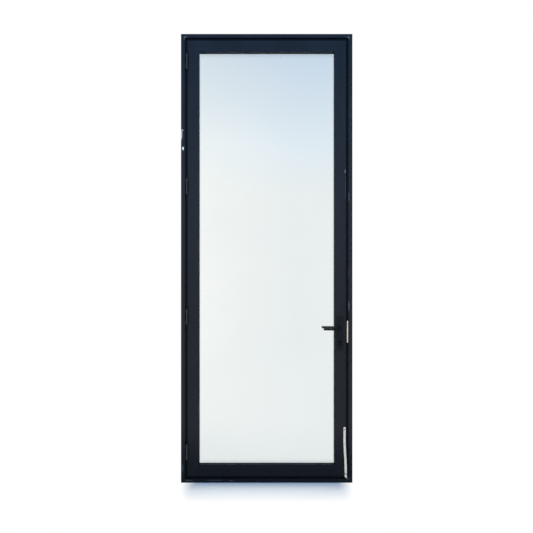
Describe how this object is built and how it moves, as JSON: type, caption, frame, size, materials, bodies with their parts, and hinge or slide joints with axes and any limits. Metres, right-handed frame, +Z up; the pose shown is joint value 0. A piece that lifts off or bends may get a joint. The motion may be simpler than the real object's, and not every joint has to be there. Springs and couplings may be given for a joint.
{
  "type": "glazed door with frame",
  "caption": "Tall single glazed door in a mitred dark aluminium frame, hung on barrel hinges, with lever handles, latch and keyed deadbolt.",
  "frame": {"origin": "middle of the sill's underside, half way through the frame's depth", "axes": "+Z up; -Y is the front, the side with the hinge barrels; +X to the right seen from the front, towards the lock"},
  "size_m": [1.1, 0.172, 2.88],
  "materials": {
    "frame_coat": "satin",
    "leaf_coat": "satin",
    "hinge_coat": "satin",
    "handle_coat": "satin",
    "bare_aluminium": "satin",
    "epdm": "matte",
    "sealant": "matte",
    "float_glass": "polished",
    "steel": "satin",
    "black_steel": "satin",
    "keep_zinc": "satin",
    "brass": "satin",
    "black_nylon": "matte",
    "white_nylon": "matte",
    "block_plastic": "matte",
    "strip_film": "matte"
  },
  "bodies": {
    "frame": {"hinge_jamb": "frame_coat", "lock_jamb": "frame_coat", "head": "frame_coat", "sill": "frame_coat", "frame_corner_cleats": "bare_aluminium", "frame_gasket": "epdm", "hinge_frame_wing_1": "hinge_coat", "hinge_frame_wing_2": "hinge_coat", "hinge_frame_wing_3": "hinge_coat", "hinge_frame_wing_4": "hinge_coat", "hinge_pin_1": "steel", "hinge_pin_2": "steel", "hinge_pin_3": "steel", "hinge_pin_4": "steel", "hinge_caps": "black_nylon", "hinge_frame_screws": "steel", "latch_keep": "keep_zinc", "keep_screws": "steel"},
    "leaf": {"hinge_stile": "leaf_coat", "lock_stile": "leaf_coat", "top_rail": "leaf_coat", "bottom_rail": "leaf_coat", "bead_hinge_side": "leaf_coat", "bead_lock_side": "leaf_coat", "bead_top": "leaf_coat", "bead_bottom": "leaf_coat", "hinge_leaf_wing_1": "hinge_coat", "hinge_leaf_wing_2": "hinge_coat", "hinge_leaf_wing_3": "hinge_coat", "hinge_leaf_wing_4": "hinge_coat", "front_plate": "handle_coat", "rear_plate": "handle_coat", "leaf_corner_cleats": "bare_aluminium", "spacer_bar": "bare_aluminium", "front_glazing_seal": "epdm", "rear_glazing_seal": "epdm", "edge_sealant": "sealant", "front_pane": "float_glass", "rear_pane": "float_glass", "hinge_leaf_screws": "steel", "faceplate_screws": "steel", "cylinder_screw": "steel", "lock_case": "steel", "lock_faceplate": "steel", "plate_screws": "black_steel", "cylinder_body": "brass", "hinge_bushes": "white_nylon", "setting_blocks": "block_plastic", "white_strip": "strip_film"},
    "lever_set": {"front_lever": "handle_coat", "rear_lever": "handle_coat", "spindle": "steel", "lock_follower": "steel", "lever_grub_screws": "steel"},
    "latch": {"latch_bolt": "steel"},
    "deadbolt_slider": {"deadbolt": "steel"},
    "plug": {"cylinder_plug": "brass"}
  },
  "joints": [
    {"name": "leaf_swing", "type": "hinge", "parent": "frame", "child": "leaf", "pos_m": [-0.514, -0.0315, 1.44], "axis": [0, 0, -1], "range_deg": [0, 100]},
    {"name": "lever_turn", "type": "hinge", "parent": "leaf", "child": "lever_set", "pos_m": [0.471, 0, 0.988], "axis": [0, -1, 0], "range_deg": [0, 40], "stiffness_Nm_per_rad": 1.5, "springref_deg": -28.65},
    {"name": "latch_slide", "type": "slide", "parent": "leaf", "child": "latch", "axis": [-1, 0, 0], "range_m": [0, 0.0105]},
    {"name": "key_turn", "type": "hinge", "parent": "leaf", "child": "plug", "pos_m": [0.471, 0, 0.903], "axis": [0, -1, 0], "range_deg": [0, 360]},
    {"name": "deadbolt_slide", "type": "slide", "parent": "leaf", "child": "deadbolt_slider", "axis": [1, 0, 0], "range_m": [0, 0.016]}
  ],
  "couplings": [
    {"joint": "latch_slide", "follows": "lever_turn", "m_per_rad": 0.01503},
    {"joint": "key_turn", "follows": "deadbolt_slide", "rad_per_m": 392.7}
  ]
}
